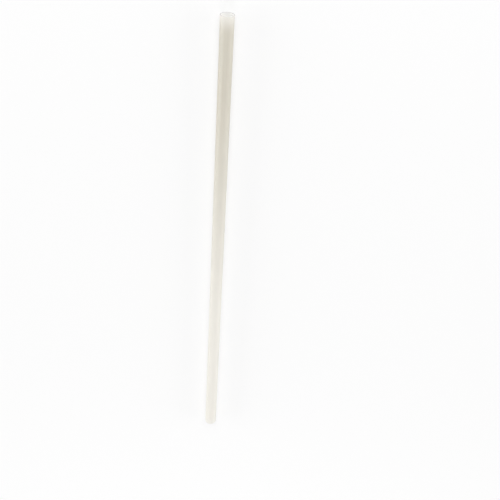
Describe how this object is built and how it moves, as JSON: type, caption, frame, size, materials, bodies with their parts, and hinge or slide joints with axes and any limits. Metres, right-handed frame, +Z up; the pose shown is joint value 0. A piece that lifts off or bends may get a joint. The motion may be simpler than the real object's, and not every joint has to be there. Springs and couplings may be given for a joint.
{
  "type": "drinking straw",
  "caption": "Straight drinking straw: a slender thin-walled extruded tube of milky ivory bioplastic, open right through and cut square at both ends.",
  "frame": {"origin": "on the surface that the straw lies on, midway between its two cut ends and straight below its axis", "axes": "+X along the straw towards the end that is drunk from, +Z up from the surface it lies on"},
  "size_m": [0.24, 0.006, 0.006],
  "materials": {
    "bioplastic": "satin milky ivory, slightly translucent, with faint drawn lines along the tube"
  },
  "bodies": {
    "root": {"straw": "bioplastic"}
  },
  "joints": []
}
